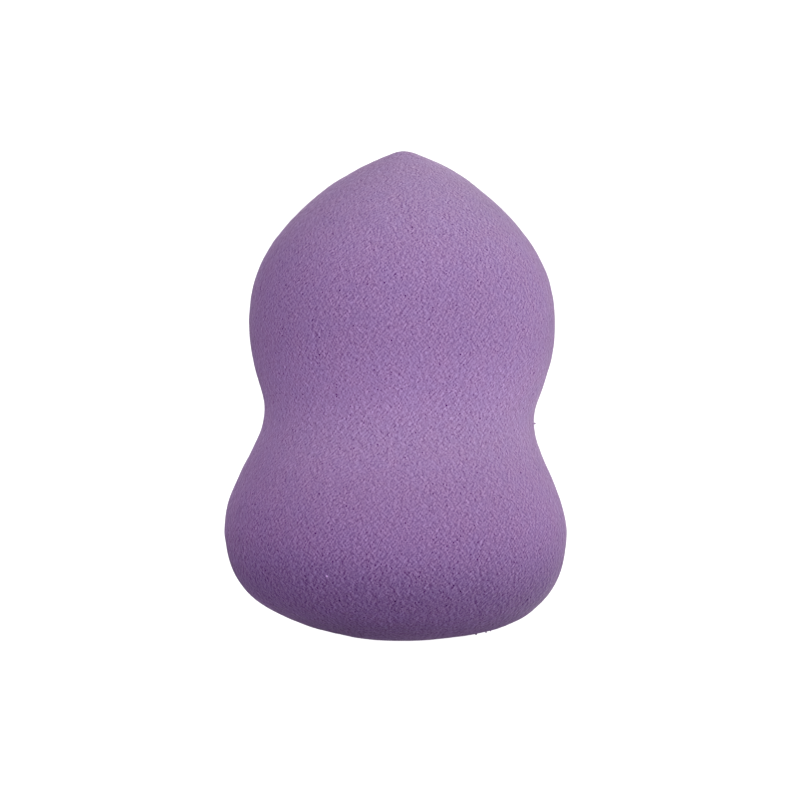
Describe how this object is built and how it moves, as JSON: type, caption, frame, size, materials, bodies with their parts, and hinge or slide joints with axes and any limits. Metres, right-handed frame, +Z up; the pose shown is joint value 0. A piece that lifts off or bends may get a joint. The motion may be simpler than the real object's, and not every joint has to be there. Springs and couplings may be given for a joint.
{
  "type": "makeup sponge",
  "caption": "Soft foam makeup sponge shaped like a gourd, with a wide rounded base, a waist and a blunt tip for blending.",
  "frame": {"origin": "centre of the small flat under the sponge, on the surface it stands on", "axes": "+Z up along the sponge's axis, from the base to the tip; the sponge is round about +Z"},
  "size_m": [0.0427, 0.0426, 0.061],
  "materials": {
    "foam": "matte open-cell foam, lavender, fine pores all over, with a soft pale bloom at grazing angles"
  },
  "bodies": {
    "root": {"sponge": "foam"}
  },
  "joints": []
}
